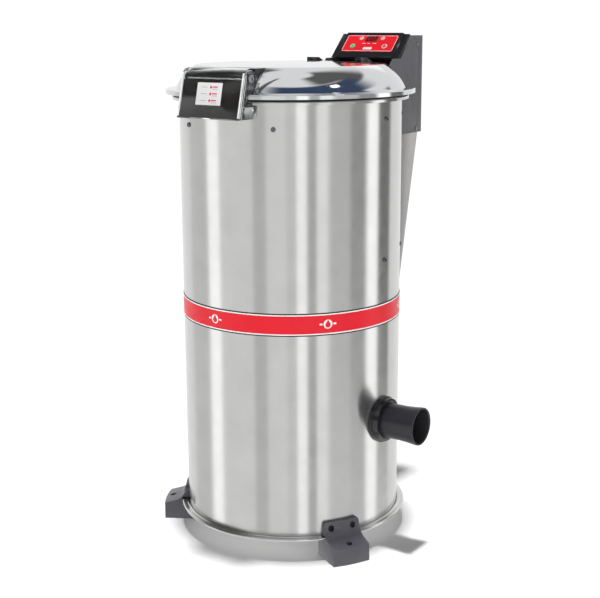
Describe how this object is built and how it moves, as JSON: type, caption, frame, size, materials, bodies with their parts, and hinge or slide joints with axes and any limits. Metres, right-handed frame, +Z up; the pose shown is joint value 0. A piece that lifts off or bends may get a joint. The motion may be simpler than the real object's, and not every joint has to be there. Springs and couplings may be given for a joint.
{
  "type": "spin dryer",
  "caption": "Free-standing stainless spin dryer drum on bolt-down feet, with domed hinged lid, clear latch flap, rear control column, spin basket and side drain spout.",
  "frame": {"origin": "on the floor, on the drum's axis, at the centre of the three anchor holes", "axes": "+Z up along the drum's axis, -Y is the front with the latch flap, +X is the side with the drain spout"},
  "size_m": [0.548, 0.631, 0.9819],
  "materials": {
    "drum_steel": "vertical brushed stainless",
    "lid_steel": "mirror polished stainless",
    "inner_steel": "plain stainless",
    "zinc_steel": "zinc plated",
    "shaft_steel": "ground",
    "rotor_steel": "laminated steel",
    "cast_aluminium": "as cast",
    "motor_paint": "grey blue enamel",
    "column_paint": "dark grey powder coat",
    "red_trim": "printed vinyl band",
    "membrane_red": "printed polyester membrane",
    "black_plastic": "satin moulded",
    "foot_plastic": "moulded dark grey",
    "spout_rubber": "moulded rubber",
    "seal_rubber": "black rubber",
    "strap_paint": "black enamel",
    "bronze_washer": "friction bronze",
    "clear_cover": "clear polycarbonate",
    "label_white": "printed label",
    "display_red": "tinted window",
    "board_green": "circuit board",
    "key_light": "key cap",
    "key_green": "key cap"
  },
  "bodies": {
    "machine": {"drum_shell": "drum_steel", "base_pan": "drum_steel", "sump_tray": "inner_steel", "spout": "spout_rubber", "spout_collar": "spout_rubber", "foot_front_left": "foot_plastic", "foot_front_right": "foot_plastic", "foot_rear": "foot_plastic", "foot_screws": "zinc_steel", "motor_brackets": "zinc_steel", "motor_mounts": "seal_rubber", "motor_plate": "zinc_steel", "motor_body": "motor_paint", "motor_top_shield": "cast_aluminium", "motor_bottom_shield": "cast_aluminium", "motor_stator": "rotor_steel", "fan_cover": "black_plastic", "upper_bearing": "shaft_steel", "lower_bearing": "shaft_steel", "shaft_seal": "seal_rubber", "trim_band": "red_trim", "drum_screws": "zinc_steel", "latch_keeper": "inner_steel", "cable_duct": "inner_steel", "column_cover": "column_paint", "column_front_panel": "column_paint", "column_screws": "zinc_steel", "hinge_pin": "shaft_steel", "hinge_washers": "bronze_washer", "lid_sensor": "black_plastic", "control_housing": "black_plastic", "control_bezel": "black_plastic", "control_membrane": "membrane_red", "display_window": "display_red", "control_board": "board_green", "mains_gland": "black_plastic", "wiring_cable": "seal_rubber"},
    "spin_basket": {"basket": "inner_steel", "basket_hub": "cast_aluminium", "basket_nut": "zinc_steel", "shaft_bolt": "zinc_steel", "drive_shaft": "shaft_steel", "motor_rotor": "rotor_steel", "motor_fan": "black_plastic"},
    "lid": {"lid_dome": "lid_steel", "lid_gasket": "seal_rubber", "lid_hinge_straps": "strap_paint", "latch_body": "black_plastic", "latch_pivots": "zinc_steel", "sensor_magnet": "black_plastic"},
    "latch_flap": {"latch_cover": "clear_cover", "latch_panel": "black_plastic", "latch_label": "label_white", "latch_bar": "inner_steel", "latch_stops": "seal_rubber"},
    "key_up": {"key_up": "key_light"},
    "key_down": {"key_down": "key_light"},
    "key_start": {"key_start": "key_green"},
    "key_stop": {"key_stop": "key_light"}
  },
  "joints": [
    {"name": "basket_spin", "type": "hinge", "parent": "machine", "child": "spin_basket", "pos_m": [0, 0, 0.3], "axis": [0, 0, 1], "continuous": true},
    {"name": "lid_hinge", "type": "hinge", "parent": "machine", "child": "lid", "pos_m": [0, 0.268, 0.893], "axis": [-1, 0, 0], "range_deg": [0, 65]},
    {"name": "latch_pivot", "type": "hinge", "parent": "lid", "child": "latch_flap", "pos_m": [0, -0.222, 0.909], "axis": [-1, 0, 0], "range_deg": [0, 40]},
    {"name": "key_up_press", "type": "slide", "parent": "machine", "child": "key_up", "axis": [0, 0.7071, -0.7071], "range_m": [0, 0.0005], "stiffness_N_per_m": 800},
    {"name": "key_down_press", "type": "slide", "parent": "machine", "child": "key_down", "axis": [0, 0.7071, -0.7071], "range_m": [0, 0.0005], "stiffness_N_per_m": 800},
    {"name": "key_start_press", "type": "slide", "parent": "machine", "child": "key_start", "axis": [0, 0.7071, -0.7071], "range_m": [0, 0.0005], "stiffness_N_per_m": 800},
    {"name": "key_stop_press", "type": "slide", "parent": "machine", "child": "key_stop", "axis": [0, 0.7071, -0.7071], "range_m": [0, 0.0005], "stiffness_N_per_m": 800}
  ]
}
